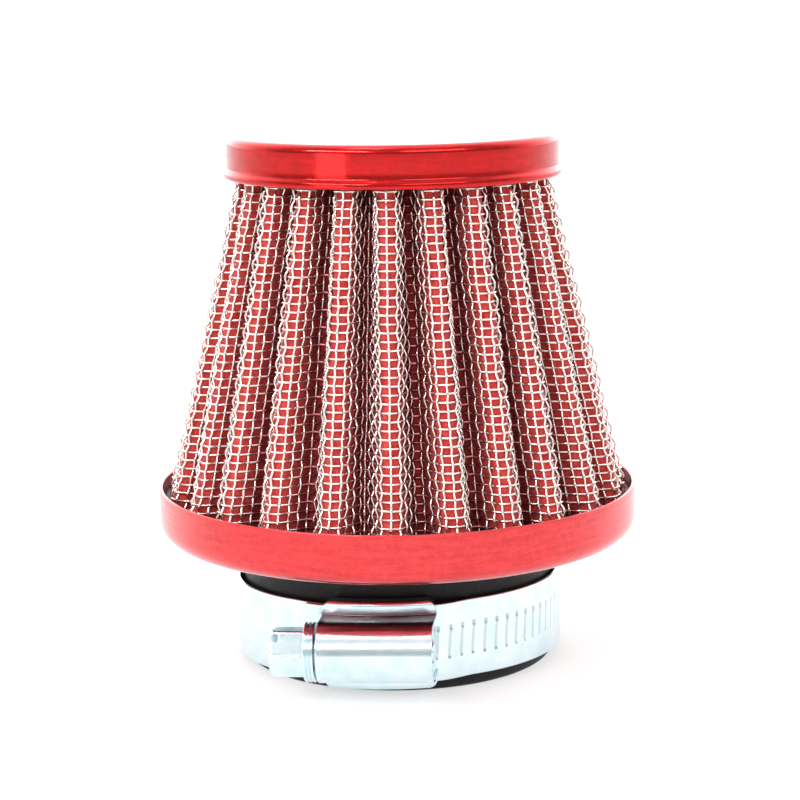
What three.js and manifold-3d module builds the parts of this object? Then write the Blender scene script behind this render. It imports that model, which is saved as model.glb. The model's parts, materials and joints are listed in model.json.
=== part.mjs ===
// Cone air filter for a small motorcycle engine, with the worm-drive hose clamp on its rubber neck.
// Lengths are millimetres and angles are degrees. The origin is the centre of the neck's open end, +Z runs
// up the filter's axis to the cap, and the clamp's screw lies across the front, which is -Y.
import * as THREE from "three";
import { mergeVertices } from "three/addons/utils/BufferGeometryUtils.js";
import Module from "manifold-3d";

// ---------------------------------------------------------------- Driving dimensions

const clearance = 0.3; // between pieces that touch or are bonded on the real filter
const sheet = 0.6; // spun aluminium of the cap and the pan
const turnSegments = 48; // facets round a turned piece

// Rubber neck
const neckBore = 42;
const neckWall = 4;
const neckReach = 20; // from the open end to the underside of the pan
const neckChamfer = 0.8;
const neckGrooveDepth = 1.2; // the pan's edge sits in this groove
const neckFlangeLap = 2.8; // the inner flange reaches this far over the pan's floor
const neckFlangeThickness = 2;

// Pan and cap
const panRadius = 38.5;
const panDepth = 8.2;
const panCorner = 3;
const capRadius = 26.3;
const capHeight = 6.6;
const capCorner = 1.3;
const capHem = 0.6; // radius of the rolled hem round the cap's open edge
const mediaShow = 49.4; // height of pleats seen between the pan's rim and the cap
const bottomPottingDepth = 4.8;
const topPottingDepth = 3.2;

// Pleat pack: outer wire mesh, gauze and inner wire mesh, folded together
const pleatCount = 23;
const pleatDepth = 4.8;
const crestWidth = 3; // across the flat outer fold
const valleyWidth = 1.4; // across the gap at the bottom of a valley
const pleatClearance = 0.4; // between the crests and the cap's wall
const outerMeshThickness = 0.5;
const mediaThickness = 0.4;
const innerMeshThickness = 0.3;
const layerGap = 0.1;
const pleatRows = 2; // facets up a pleat's side, which twists as the pack fans out

// Hose clamp
const bandWidth = 12;
const bandThickness = 0.6;
const bandClearance = 0.75; // radial, between the neck and the loose band
const bandGap = 0.12; // between two layers of the band
const bandHeight = 7.3; // of the band's middle above the neck's open end
const clampTip = 2.2; // the loose clamp sits front up by this angle
const clampLean = 0.9; // and left down by this one
const clampSpin = -6.3; // the screw lies this far round to the left of the front
const fixedEndAngle = 12; // the band's fixed end stops this far past the housing's middle
const tailAngle = 28; // the band's tail ends this far past the housing's middle
const rampAngle = 15; // over which a layer of the band steps up or down
const groovePitch = 2.1;
const grooveLength = 5.5;
const grooveWidth = 0.75;
const grooveDepth = 0.25;
const grooveSlant = 4;
const grooveArc = 130; // the grooves reach this far round from the housing
const saddleThickness = 0.6;
const housingLength = 17.6;
const housingWall = 0.7;
const housingLip = 0.6; // thickness of the lips that fold down over the band's edges
const wormRadius = 3.7;
const wormThreadDepth = 0.7;
const journalRadius = 2.6;
const pilotRadius = 1.5;
const collarRadius = 4.6;
const collarLength = 1.7;
const hexAcrossFlats = 7;
const hexLength = 5.3;
const hexTurn = 3; // how far the head's top flat is turned to the back
const driverSlotWidth = 1.3;
const driverSlotDepth = 1.5;
const driverSlotAngle = 48;

// ---------------------------------------------------------------- Heights and radii that follow

const boreRadius = neckBore / 2;
const neckRadius = boreRadius + neckWall;
const panHoleRadius = neckRadius - neckGrooveDepth;
const neckFlangeRadius = panHoleRadius + neckFlangeLap;
const panFloor = neckReach; // underside
const panRim = panFloor + panDepth;
const capEdge = panRim + mediaShow;
const capTop = capEdge + capHeight;
const neckFlangeBase = panFloor + sheet + clearance;
const bottomPottingTop = neckFlangeBase + bottomPottingDepth;
const topPottingTop = capTop - sheet - clearance;
const topPottingBase = topPottingTop - topPottingDepth;
const pleatBase = bottomPottingTop + clearance;
const pleatTop = topPottingBase - clearance;
const crestAtCap = capRadius - sheet - pleatClearance;
const crestAtBase = panRadius - sheet - pleatClearance;
const crestTaper = (crestAtBase - crestAtCap) / (capEdge - pleatBase);

const bandInner = neckRadius + bandClearance;
const freeRadius = bandInner + bandThickness / 2; // centre line of the band where it lies on the neck
const fixedRadius = freeRadius + saddleThickness + bandGap; // where it lies on the saddle
const tailRadius = fixedRadius + bandThickness + bandGap; // where the tail lies on the fixed end
const overlapRadius = freeRadius + bandThickness + bandGap; // where the tail lies on the free band
const stackRadius = tailRadius + bandThickness / 2; // outside of the two layers under the screw
const housingInner = stackRadius + bandGap;
const housingOuter = housingInner + housingWall;
const screwOffset = stackRadius + bandGap + wormRadius; // from the clamp's axis to the screw's
const domeInner = wormRadius + clearance;
const domeOuter = domeInner + housingWall;
const lipInner = bandWidth / 2 + clearance;
const lipOuter = lipInner + housingLip;
const housingAngle = THREE.MathUtils.radToDeg(Math.asin(housingLength / 2 / housingOuter));

// ---------------------------------------------------------------- Shapes and solids

const wasm = await Module();
wasm.setup();
const rad = THREE.MathUtils.degToRad;

// A closed geometry as a manifold-3d solid.
function solidFrom(geometry) {
  const bare = geometry.index ? geometry.toNonIndexed() : geometry.clone();
  bare.deleteAttribute("normal");
  bare.deleteAttribute("uv");
  const merged = mergeVertices(bare, 1e-4);
  return new wasm.Manifold(
    new wasm.Mesh({
      numProp: 3,
      vertProperties: merged.attributes.position.array,
      triVerts: new Uint32Array(merged.index.array),
    }),
  );
}

// A manifold-3d solid as a geometry with flat facets.
function geometryFrom(solid) {
  const { numProp, vertProperties, triVerts } = solid.getMesh();
  const places = new Float32Array(triVerts.length * 3);
  triVerts.forEach((vertex, corner) => {
    for (let axis = 0; axis < 3; axis++) places[3 * corner + axis] = vertProperties[vertex * numProp + axis];
  });
  const geometry = new THREE.BufferGeometry().setAttribute("position", new THREE.BufferAttribute(places, 3));
  geometry.computeVertexNormals();
  return geometry;
}

// Points of an arc in the plane, from one angle to another.
function arc(x, y, radius, from, to, steps) {
  return Array.from({ length: steps + 1 }, (_, step) => {
    const angle = rad(from + ((to - from) * step) / steps);
    return [x + radius * Math.cos(angle), y + radius * Math.sin(angle)];
  });
}

// A profile of [radius, height] points, anticlockwise, turned about Z.
function turned(profile, segments = turnSegments) {
  const points = profile.map(([radius, height]) => new THREE.Vector2(radius, height));
  if (profile[0][0] > 0) points.push(points[0].clone());
  return new THREE.LatheGeometry(points, segments).rotateX(Math.PI / 2);
}

// A plane outline drawn out along Z from low to high.
function drawnOut(outline, low, high) {
  const shape = new THREE.Shape(outline.map(([x, y]) => new THREE.Vector2(x, y)));
  return new THREE.ExtrudeGeometry(shape, { depth: high - low, bevelEnabled: false }).translate(0, 0, low);
}

// A solid cylinder along X between two places, on the screw's axis.
function rod(radius, from, to, segments = 24) {
  const profile = [[0, from], [radius, from], [radius, to], [0, to]];
  return turned(profile, segments).rotateY(Math.PI / 2).translate(0, -screwOffset, 0);
}

// A place round the clamp: the angle is counted from the front, to the right.
function clampPoint(angle, radius) {
  return [radius * Math.sin(rad(angle)), -radius * Math.cos(rad(angle))];
}

// A curved plate round the clamp's axis, between two radii, two angles and two heights.
function curvedPlate(inner, outer, halfAngle, low, high) {
  const steps = 12;
  const face = (radius, from, to) =>
    Array.from({ length: steps + 1 }, (_, step) => clampPoint(from + ((to - from) * step) / steps, radius));
  return drawnOut([...face(outer, -halfAngle, halfAngle), ...face(inner, halfAngle, -halfAngle)], low, high);
}

// ---------------------------------------------------------------- Cap, pan, potting and neck

function topCap() {
  const wallInner = capRadius - sheet;
  const cornerRadius = capRadius - capCorner;
  const cornerHeight = capTop - capCorner;
  const hemMiddle = capEdge + capHem;
  return turned([
    [0, capTop - sheet],
    ...arc(cornerRadius, cornerHeight, capCorner - sheet, 90, 0, 3),
    [wallInner, capEdge],
    ...arc(capRadius - sheet / 4, hemMiddle, capHem, -90, 80, 6),
    [capRadius, hemMiddle + 1.4 * capHem],
    ...arc(cornerRadius, cornerHeight, capCorner, 0, 90, 4),
    [0, capTop],
  ]);
}

function topPotting() {
  const radius = capRadius - sheet - clearance;
  return turned([[0, topPottingBase], [radius, topPottingBase], [radius, topPottingTop], [0, topPottingTop]]);
}

function bottomPan() {
  const cornerRadius = panRadius - panCorner;
  const cornerHeight = panFloor + panCorner;
  return turned([
    [panHoleRadius, panFloor],
    ...arc(cornerRadius, cornerHeight, panCorner, -90, 0, 5),
    [panRadius, panRim],
    [panRadius - sheet, panRim],
    ...arc(cornerRadius, cornerHeight, panCorner - sheet, 0, -90, 5),
    [panHoleRadius, panFloor + sheet],
  ]);
}

function bottomPotting() {
  const inner = neckFlangeRadius + clearance;
  const outer = panRadius - sheet - clearance;
  const cornerRadius = panRadius - panCorner;
  const cornerHeight = panFloor + panCorner;
  return turned([
    [inner, neckFlangeBase],
    ...arc(cornerRadius, cornerHeight, panCorner - sheet - clearance, -90, 0, 3),
    [outer, bottomPottingTop],
    [inner, bottomPottingTop],
  ]);
}

function rubberNeck() {
  const groove = panHoleRadius - clearance;
  const shoulder = panFloor - clearance;
  return turned([
    [boreRadius, 0],
    [neckRadius - neckChamfer, 0],
    [neckRadius, neckChamfer],
    [neckRadius, shoulder],
    [groove, shoulder],
    [groove, neckFlangeBase],
    [neckFlangeRadius, neckFlangeBase],
    [neckFlangeRadius, neckFlangeBase + neckFlangeThickness],
    [boreRadius, neckFlangeBase + neckFlangeThickness],
  ]);
}

// ---------------------------------------------------------------- Pleat pack

// The pleats' outer outline at a height, sunk evenly into the pack: four corners to a pleat.
function pleatOutline(height, sink) {
  const crest = crestAtBase - crestTaper * (height - pleatBase);
  const valley = crest - pleatDepth;
  const corners = [];
  for (let pleat = 0; pleat < pleatCount; pleat++) {
    for (const [radius, width, turn] of [[crest, crestWidth, 0], [valley, valleyWidth, 0.5]]) {
      const angle = (2 * Math.PI * (pleat + turn)) / pleatCount - Math.PI / 2;
      const out = new THREE.Vector2(Math.cos(angle), Math.sin(angle)).multiplyScalar(radius);
      const side = new THREE.Vector2(-Math.sin(angle), Math.cos(angle)).multiplyScalar(width / 2);
      corners.push(out.clone().sub(side), out.clone().add(side));
    }
  }
  return corners.map((corner, place) => {
    const before = corners[(place + corners.length - 1) % corners.length];
    const after = corners[(place + 1) % corners.length];
    const inwards = [corner.clone().sub(before), after.clone().sub(corner)].map((edge) =>
      new THREE.Vector2(-edge.y, edge.x).normalize(),
    );
    const mitre = inwards[0].clone().add(inwards[1]);
    return corner.clone().addScaledVector(mitre, sink / (1 + inwards[0].dot(inwards[1])));
  });
}

// One pleated layer, as a closed shell between two depths below the pack's outer face.
function pleatedLayer(outerSink, innerSink) {
  const levels = Array.from({ length: pleatRows + 1 }, (_, row) => row / pleatRows);
  const heights = levels.map((level) => THREE.MathUtils.lerp(pleatBase, pleatTop, level));
  const loopsAt = (sink) => heights.map((height) => pleatOutline(height, sink).map(({ x, y }) => [x, y, height]));
  const outer = loopsAt(outerSink);
  const inner = loopsAt(innerSink);
  const places = [];
  const quad = (a, b, c, d) => places.push(...a, ...b, ...c, ...a, ...c, ...d);
  for (let place = 0; place < 4 * pleatCount; place++) {
    const next = (place + 1) % (4 * pleatCount);
    for (let row = 0; row < pleatRows; row++) {
      quad(outer[row][place], outer[row][next], outer[row + 1][next], outer[row + 1][place]);
      quad(inner[row][place], inner[row + 1][place], inner[row + 1][next], inner[row][next]);
    }
    quad(outer[pleatRows][place], outer[pleatRows][next], inner[pleatRows][next], inner[pleatRows][place]);
    quad(outer[0][place], inner[0][place], inner[0][next], outer[0][next]);
  }
  const position = new THREE.Float32BufferAttribute(places, 3);
  const geometry = new THREE.BufferGeometry().setAttribute("position", position);
  geometry.computeVertexNormals();
  return geometry;
}

const mediaSink = outerMeshThickness + layerGap;
const innerMeshSink = mediaSink + mediaThickness + layerGap;

// ---------------------------------------------------------------- Hose clamp

// Radius of the band's centre line at an angle of travel, counted from the housing's middle to the left.
// It starts on the saddle, runs once round the neck, and climbs over its fixed end under the screw.
function bandRadius(travel) {
  const ramp = (from, low, high) => low + (high - low) * THREE.MathUtils.smoothstep(travel, from, from + rampAngle);
  const edge = housingAngle;
  if (travel < 180) return ramp(edge, fixedRadius, freeRadius);
  if (travel < 360) return ramp(360 - edge - rampAngle, freeRadius, tailRadius);
  return ramp(360 + edge, tailRadius, overlapRadius);
}

function clampBand() {
  const step = 4;
  const steps = Math.round((360 + fixedEndAngle + tailAngle) / step);
  const travels = Array.from(
    { length: steps + 1 },
    (_, index) => -fixedEndAngle + ((360 + fixedEndAngle + tailAngle) * index) / steps,
  );
  const face = (side) => travels.map((travel) => clampPoint(-travel, bandRadius(travel) + (side * bandThickness) / 2));
  let band = solidFrom(drawnOut([...face(-1), ...face(1).reverse()], -bandWidth / 2, bandWidth / 2));
  const grooveTurn = THREE.MathUtils.radToDeg(groovePitch / freeRadius);
  const grooves = Math.floor((grooveArc + tailAngle) / grooveTurn) - 1;
  for (let groove = 1; groove <= grooves; groove++) {
    const travel = 360 + tailAngle - groove * grooveTurn;
    const [x, y] = clampPoint(-travel, bandRadius(travel) + bandThickness / 2);
    const cutter = new THREE.BoxGeometry(grooveWidth, 2 * grooveDepth, grooveLength)
      .rotateY(rad(grooveSlant))
      .rotateZ(rad(-travel))
      .translate(x, y, 0);
    band = band.subtract(solidFrom(cutter));
  }
  return geometryFrom(band);
}

function clampSaddle() {
  return curvedPlate(bandInner, bandInner + saddleThickness, housingAngle, -bandWidth / 2, bandWidth / 2);
}

// An arch over the screw, drawn out along X between two places, with its feet on the clamp's inner face.
function arch(radius, from, to) {
  const feet = screwOffset - bandInner;
  const outline = [[-radius, feet], ...arc(0, 0, radius, 180, 360, 16), [radius, feet]];
  return drawnOut(outline, from, to).rotateY(Math.PI / 2).translate(0, -screwOffset, 0);
}

function clampHousing() {
  const halfLength = housingLength / 2;
  const inside = halfLength - housingWall;
  const flange = solidFrom(curvedPlate(housingInner, housingOuter, housingAngle, -lipOuter, lipOuter));
  const lips = [[-lipOuter, -lipInner], [lipInner, lipOuter]].map(([low, high]) =>
    solidFrom(curvedPlate(bandInner, housingOuter - housingWall / 2, housingAngle, low, high)),
  );
  const stack = solidFrom(drawnOut(arc(0, 0, housingInner, 0, 357, 119), -lipInner, lipInner));
  const outside = solidFrom(arch(domeOuter, -halfLength, halfLength));
  const hollow = solidFrom(arch(domeInner, -inside, inside));
  return geometryFrom(
    outside
      .add(flange)
      .subtract(hollow)
      .subtract(solidFrom(rod(journalRadius + clearance, -housingLength, 0)))
      .subtract(solidFrom(rod(pilotRadius + clearance, 0, housingLength)))
      .subtract(stack)
      .add(lips[0])
      .add(lips[1]),
  );
}

// The worm: a rod whose surface rises and falls along a helix.
function worm(from, to) {
  const around = 20;
  const rows = Math.round((to - from) / (groovePitch / 4));
  const blank = new THREE.CylinderGeometry(wormRadius, wormRadius, to - from, around, rows);
  const place = blank.attributes.position;
  for (let index = 0; index < place.count; index++) {
    const [x, along, z] = [place.getX(index), place.getY(index), place.getZ(index)];
    const radius = Math.hypot(x, z);
    if (radius < wormRadius / 2) continue;
    const phase = along / groovePitch - Math.atan2(z, x) / (2 * Math.PI);
    const height = Math.abs(2 * (phase - Math.floor(phase)) - 1);
    const share = (wormRadius - wormThreadDepth * height) / radius;
    place.setXYZ(index, x * share, along, z * share);
  }
  return blank.rotateZ(-Math.PI / 2).translate((from + to) / 2, -screwOffset, 0);
}

function clampScrew() {
  const halfLength = housingLength / 2;
  const wormEnd = halfLength - housingWall - clearance;
  const collarStart = -halfLength - clearance;
  const headStart = collarStart - collarLength;
  const headEnd = headStart - hexLength;
  const cornerRadius = hexAcrossFlats / Math.sqrt(3);
  const chamfer = 0.6;
  const collar = [
    [0, headStart],
    [collarRadius - 0.2, headStart],
    [collarRadius, headStart + 0.2],
    ...[0.35, 0.65].flatMap((share) => {
      const middle = headStart + share * collarLength;
      return [[collarRadius, middle - 0.15], [collarRadius - 0.25, middle], [collarRadius, middle + 0.15]];
    }),
    [collarRadius, collarStart - 0.2],
    [collarRadius - 0.2, collarStart],
    [0, collarStart],
  ];
  const rounding = [
    [0, headEnd],
    [cornerRadius - chamfer, headEnd],
    [cornerRadius, headEnd + chamfer],
    [cornerRadius, headStart + 0.1],
    [0, headStart + 0.1],
  ];
  const onAxis = (geometry) => geometry.rotateY(Math.PI / 2).translate(0, -screwOffset, 0);
  const hexagon = new THREE.CylinderGeometry(cornerRadius, cornerRadius, hexLength + 0.1, 6)
    .rotateY(rad(30 - hexTurn))
    .rotateZ(-Math.PI / 2)
    .translate((headEnd + headStart + 0.1) / 2, -screwOffset, 0);
  const slot = new THREE.BoxGeometry(2 * driverSlotDepth, 3 * cornerRadius, driverSlotWidth)
    .rotateX(rad(-driverSlotAngle))
    .translate(headEnd, -screwOffset, 0);
  return geometryFrom(
    solidFrom(worm(-wormEnd, wormEnd))
      .add(solidFrom(rod(journalRadius, headStart, 0)))
      .add(solidFrom(rod(pilotRadius, 0, halfLength)))
      .add(solidFrom(onAxis(turned(collar, 32))))
      .add(solidFrom(hexagon).intersect(solidFrom(onAxis(turned(rounding, 24)))))
      .subtract(solidFrom(slot)),
  );
}

// ---------------------------------------------------------------- Assembly

const finishes = {
  lacquer: { color: 0xc4161c, roughness: 0.3, metalness: 0.6 },
  resin: { color: 0x2a2624, roughness: 0.6, metalness: 0 },
  wire: { color: 0xd8d4cc, roughness: 0.35, metalness: 0.9 },
  gauze: { color: 0xb0202c, roughness: 0.95, metalness: 0 },
  rubber: { color: 0x161616, roughness: 0.6, metalness: 0 },
  zinc: { color: 0xd4dadc, roughness: 0.25, metalness: 1 },
};

function piece(name, geometry, finish) {
  const mesh = new THREE.Mesh(geometry, new THREE.MeshStandardMaterial(finishes[finish]));
  mesh.name = name;
  return mesh;
}

const clamp = new THREE.Group();
clamp.rotation.z = rad(clampSpin);
clamp.add(
  piece("clamp_band", clampBand(), "zinc"),
  piece("clamp_saddle", clampSaddle(), "zinc"),
  piece("clamp_housing", clampHousing(), "zinc"),
  piece("clamp_screw", clampScrew(), "zinc"),
);

const clampSeat = new THREE.Group();
clampSeat.position.z = bandHeight;
clampSeat.rotation.set(rad(-clampTip), rad(-clampLean), 0);
clampSeat.add(clamp);

const airFilter = new THREE.Group();
airFilter.add(
  piece("top_cap", topCap(), "lacquer"),
  piece("top_potting", topPotting(), "resin"),
  piece("outer_mesh", pleatedLayer(0, outerMeshThickness), "wire"),
  piece("filter_media", pleatedLayer(mediaSink, mediaSink + mediaThickness), "gauze"),
  piece("inner_mesh", pleatedLayer(innerMeshSink, innerMeshSink + innerMeshThickness), "wire"),
  piece("bottom_pan", bottomPan(), "lacquer"),
  piece("bottom_potting", bottomPotting(), "resin"),
  piece("rubber_neck", rubberNeck(), "rubber"),
  clampSeat,
);

export default airFilter;
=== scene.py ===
# %% [markdown]
# # A cone air filter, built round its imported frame
#
# The filter is a pack of pleated gauze between two sheets of woven wire. A lacquered aluminium pan and cap
# hold its ends, a rubber neck takes it to the engine, and a worm-drive clamp squeezes the neck. The frame
# gives the overall sizes and the axes in metres, and each finer size is named where it is first used.

# %% Load the frame
import json
import math

import bmesh
import bpy
import numpy as np
from mathutils import Matrix, Vector


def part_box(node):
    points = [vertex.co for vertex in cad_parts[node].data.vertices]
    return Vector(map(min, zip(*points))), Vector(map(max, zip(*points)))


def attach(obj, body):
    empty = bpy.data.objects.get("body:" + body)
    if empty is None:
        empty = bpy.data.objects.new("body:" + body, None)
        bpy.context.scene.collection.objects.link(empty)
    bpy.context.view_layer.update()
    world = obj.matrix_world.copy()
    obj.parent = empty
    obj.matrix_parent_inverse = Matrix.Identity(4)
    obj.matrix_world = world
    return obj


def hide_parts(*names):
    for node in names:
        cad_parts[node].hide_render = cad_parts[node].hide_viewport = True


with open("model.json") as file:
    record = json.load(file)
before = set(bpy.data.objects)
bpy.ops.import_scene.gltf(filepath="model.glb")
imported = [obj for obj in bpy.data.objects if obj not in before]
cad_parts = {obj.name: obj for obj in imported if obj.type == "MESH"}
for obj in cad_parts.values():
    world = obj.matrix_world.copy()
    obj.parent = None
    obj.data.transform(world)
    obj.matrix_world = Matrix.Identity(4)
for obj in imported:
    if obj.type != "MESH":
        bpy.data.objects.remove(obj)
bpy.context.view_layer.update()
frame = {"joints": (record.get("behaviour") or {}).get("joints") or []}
MM = 0.001

# %% [markdown]
# ## The camera comes first
#
# A small product is shot from some way off with a long lens, a little above its middle, so that the round
# pan and cap show as thin ellipses. The lens and the distance set how strongly the near side bulges, and a
# slight roll stands for a camera that isn't quite level.

# %% Camera
CAMERA_BACK = 0.370
CAMERA_HEIGHT = 0.1111
CAMERA_LENS = 104.9
CAMERA_DOWN = math.radians(10.71)
CAMERA_RIGHT = math.radians(0.1)
CAMERA_ROLL = math.radians(-0.8)


def add_camera():
    """A camera at a place and height, aimed by its turns to the right and down, then rolled."""
    data = bpy.data.cameras.new("camera")
    data.lens = CAMERA_LENS
    data.sensor_width = 36
    data.clip_start, data.clip_end = 0.01, 20
    camera = bpy.data.objects.new("camera", data)
    level = math.cos(CAMERA_DOWN)
    ahead = Vector((math.sin(CAMERA_RIGHT) * level, math.cos(CAMERA_RIGHT) * level, -math.sin(CAMERA_DOWN)))
    turn = ahead.to_track_quat("-Z", "Y").to_matrix() @ Matrix.Rotation(CAMERA_ROLL, 3, "Z")
    camera.matrix_world = Matrix.Translation((0, -CAMERA_BACK, CAMERA_HEIGHT)) @ turn.to_4x4()
    bpy.context.scene.collection.objects.link(camera)
    bpy.context.scene.camera = camera
    return camera


print("camera", add_camera().name)

# %% [markdown]
# ## Two ways to fill a mesh
#
# Every new surface here is a grid of points, worked out as whole arrays. A grid that closes on itself in one
# direction is a tube or a turned piece, and one that closes in both is a ring. One helper joins neighbours
# into four-sided faces, and another puts points and faces into a Blender mesh.

# %% Grids and pieces


def grid_faces(rows, columns, round_rows=False, round_columns=False):
    """Four-sided faces: each joins a point to the next in its row and to the two in the next row."""
    row = np.arange(rows if round_rows else rows - 1)[:, None]
    column = np.arange(columns if round_columns else columns - 1)[None, :]
    next_row, next_column = (row + 1) % rows, (column + 1) % columns
    corners = (row * columns + column, row * columns + next_column)
    far = (next_row * columns + next_column, next_row * columns + column)
    return np.stack(np.broadcast_arrays(*corners, *far), -1).reshape(-1, 4)


def new_piece(name, points, faces, material, smooth=True, **values):
    """A mesh object at the origin from points and four-sided faces, with any named value for each point."""
    mesh = bpy.data.meshes.new(name)
    points = np.asarray(points, np.float32).reshape(-1, 3)
    mesh.vertices.add(len(points))
    mesh.vertices.foreach_set("co", points.ravel())
    mesh.loops.add(faces.size)
    mesh.loops.foreach_set("vertex_index", faces.astype(np.int32).ravel())
    mesh.polygons.add(len(faces))
    mesh.polygons.foreach_set("loop_start", np.arange(0, faces.size, 4, dtype=np.int32))
    mesh.polygons.foreach_set("use_smooth", np.full(len(faces), smooth))
    mesh.update(calc_edges=True)
    mesh.materials.append(material)
    for label, value in values.items():
        layer = mesh.attributes.new(label, "FLOAT", "POINT")
        layer.data.foreach_set("value", np.asarray(value, np.float32).ravel())
    piece = bpy.data.objects.new(name, mesh)
    bpy.context.scene.collection.objects.link(piece)
    return piece


def weld(piece, distance=1e-7):
    """Merges points that lie on each other, which closes poles and seams, and turns every face outwards."""
    work = bmesh.new()
    work.from_mesh(piece.data)
    bmesh.ops.remove_doubles(work, verts=work.verts, dist=distance)
    bmesh.ops.dissolve_degenerate(work, edges=work.edges, dist=distance)
    bmesh.ops.recalc_face_normals(work, faces=work.faces)
    work.to_mesh(piece.data)
    work.free()
    return piece


def capped_faces(rows, columns):
    """A tube's faces, and at each end flat faces that join the two halves of its section like rungs."""
    rung = np.arange(columns // 2 - 1)
    end = np.stack([rung, rung + 1, columns - rung - 2, columns - rung - 1], -1)
    return np.concatenate([grid_faces(rows, columns, False, True), end, (rows - 1) * columns + end[:, ::-1]])


def settle(piece, body, slot, *nodes):
    """The piece rides on its body and stands for the CAD nodes named. The slot is not used."""
    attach(piece, body)
    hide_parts(*nodes)
    piece.data.calc_loop_triangles()
    print(piece.name, len(piece.data.loop_triangles), "triangles")
    return piece


print("a grid of 3 rows of 4 points has", len(grid_faces(3, 4)), "faces")
print("closed both ways it has", len(grid_faces(3, 4, True, True)))

# %% [markdown]
# ## Profiles with real edges
#
# A sharp corner catches no light, and no pressed or moulded edge is truly sharp. So a profile is given by its
# corners and one radius for each, and every corner is replaced by an arc that touches both of its sides.

# %% Rounded profiles and turned pieces


def rounded(corners, radii, steps=6, closed=True):
    """Replaces each corner by an arc: its centre lies on the bisector, one radius from both sides."""
    corners = np.asarray(corners, float)
    out = []
    for index, (corner, radius) in enumerate(zip(corners, radii)):
        at_end = not closed and index in (0, len(corners) - 1)
        before, after = corners[index - 1], corners[(index + 1) % len(corners)]
        if radius <= 0 or at_end:
            out.append(corner[None])
            continue
        back = (before - corner) / np.linalg.norm(before - corner)
        ahead = (after - corner) / np.linalg.norm(after - corner)
        half = math.acos(np.clip(back @ ahead, -1, 1)) / 2
        start, end = corner + back * radius / math.tan(half), corner + ahead * radius / math.tan(half)
        centre = corner + (back + ahead) / np.linalg.norm(back + ahead) * radius / math.sin(half)
        sweep = np.linspace(0, 1, steps + 1)[:, None]
        arc = (start - centre) * (1 - sweep) + (end - centre) * sweep
        out.append(centre + arc / np.linalg.norm(arc, axis=1, keepdims=True) * radius)
    return np.concatenate(out)


def spread(profile, longest, closed=True):
    """Adds points along the straight stretches, so that no step is longer than the given length."""
    ends = np.roll(profile, -1, 0) if closed else profile[1:]
    starts = profile if closed else profile[:-1]
    pieces = []
    for start, end in zip(starts, ends):
        count = max(1, math.ceil(np.linalg.norm(end - start) / longest))
        pieces.append(start + (end - start) * (np.arange(count) / count)[:, None])
    return np.concatenate(pieces if closed else [*pieces, profile[-1:]])


def turned_points(profile, segments):
    """A profile of radius and height carried round +Z: x is r cos t, y is r sin t, and z is the height."""
    angle = np.linspace(0, 2 * math.pi, segments, endpoint=False)[:, None]
    radius, height = profile[None, :, 0], profile[None, :, 1]
    return np.stack([radius * np.cos(angle), radius * np.sin(angle), height + 0 * angle], -1)


def turned_piece(name, profile, material, segments=256, closed=True):
    """A turned mesh from a profile in millimetres. An open profile starts and ends on the axis."""
    points = turned_points(profile * MM, segments)
    faces = grid_faces(segments, len(profile), True, closed)
    return weld(new_piece(name, points, faces, material))


corner_arc = rounded([(0, 0), (1, 0), (1, 1)], [0, 0.5, 0], closed=False)
print("a corner and its two neighbours become", len(corner_arc), "points")

# %% [markdown]
# ## Materials are small graphs
#
# Each finish is one shader with a pattern behind its colour, its roughness or its relief. The patterns read
# the piece's own Object coordinates, in metres, so a scale of 1000 means one feature to a millimetre.

# %% Node helpers


def new_material(name, **sockets):
    """A material with a Principled shader, its constant values set on the sockets themselves."""
    material = bpy.data.materials.new(name)
    material.use_nodes = True
    shader = material.node_tree.nodes["Principled BSDF"]
    for socket, value in sockets.items():
        shader.inputs[socket.replace("_", " ")].default_value = value
    return material, shader


def add_node(material, kind, inputs=None, **settings):
    """A node with its settings. An input is a value, or another node's output to link from."""
    node = material.node_tree.nodes.new(kind)
    for key, value in settings.items():
        setattr(node, key, value)
    for key, value in (inputs or {}).items():
        if isinstance(value, bpy.types.NodeSocket):
            material.node_tree.links.new(value, node.inputs[key])
        else:
            node.inputs[key].default_value = value
    return node


def object_coordinates(material, stretch=(1, 1, 1)):
    """The piece's own coordinates, with each axis stretched by its own factor."""
    place = add_node(material, "ShaderNodeTexCoord")
    return add_node(
        material, "ShaderNodeMapping", {"Vector": place.outputs["Object"], "Scale": stretch}
    ).outputs[0]


def noise_value(material, vector, scale, detail=3.0, roughness=0.55):
    """Cloudy noise from 0 to 1: scale is features to a metre, and detail adds finer and finer layers."""
    inputs = {"Vector": vector, "Scale": scale, "Detail": detail, "Roughness": roughness}
    return add_node(material, "ShaderNodeTexNoise", inputs).outputs["Fac"]


def remap(material, value, low, high, to_low, to_high):
    """A value carried from one range to another, held inside the new one."""
    inputs = {0: value, 1: low, 2: high, 3: to_low, 4: to_high}
    return add_node(material, "ShaderNodeMapRange", inputs).outputs[0]


def mixed_colour(material, value, first, second):
    """A blend of two colours by a value from 0 to 1. Each is three numbers or another node's output."""
    ends = [end if isinstance(end, bpy.types.NodeSocket) else (*end, 1) for end in (first, second)]
    inputs = {0: value, 6: ends[0], 7: ends[1]}
    return add_node(material, "ShaderNodeMix", inputs, data_type="RGBA").outputs[2]


def drive(material, shader, **links):
    """Links outputs to the shader's sockets of the same names."""
    for socket, output in links.items():
        material.node_tree.links.new(output, shader.inputs[socket.replace("_", " ")])


def relief(material, shader, height, distance, strength=1.0):
    """A bump whose height is a value from 0 to 1 times a distance in metres."""
    inputs = {"Height": height, "Distance": distance, "Strength": strength}
    bump = add_node(material, "ShaderNodeBump", inputs)
    drive(material, shader, Normal=bump.outputs[0])


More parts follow.
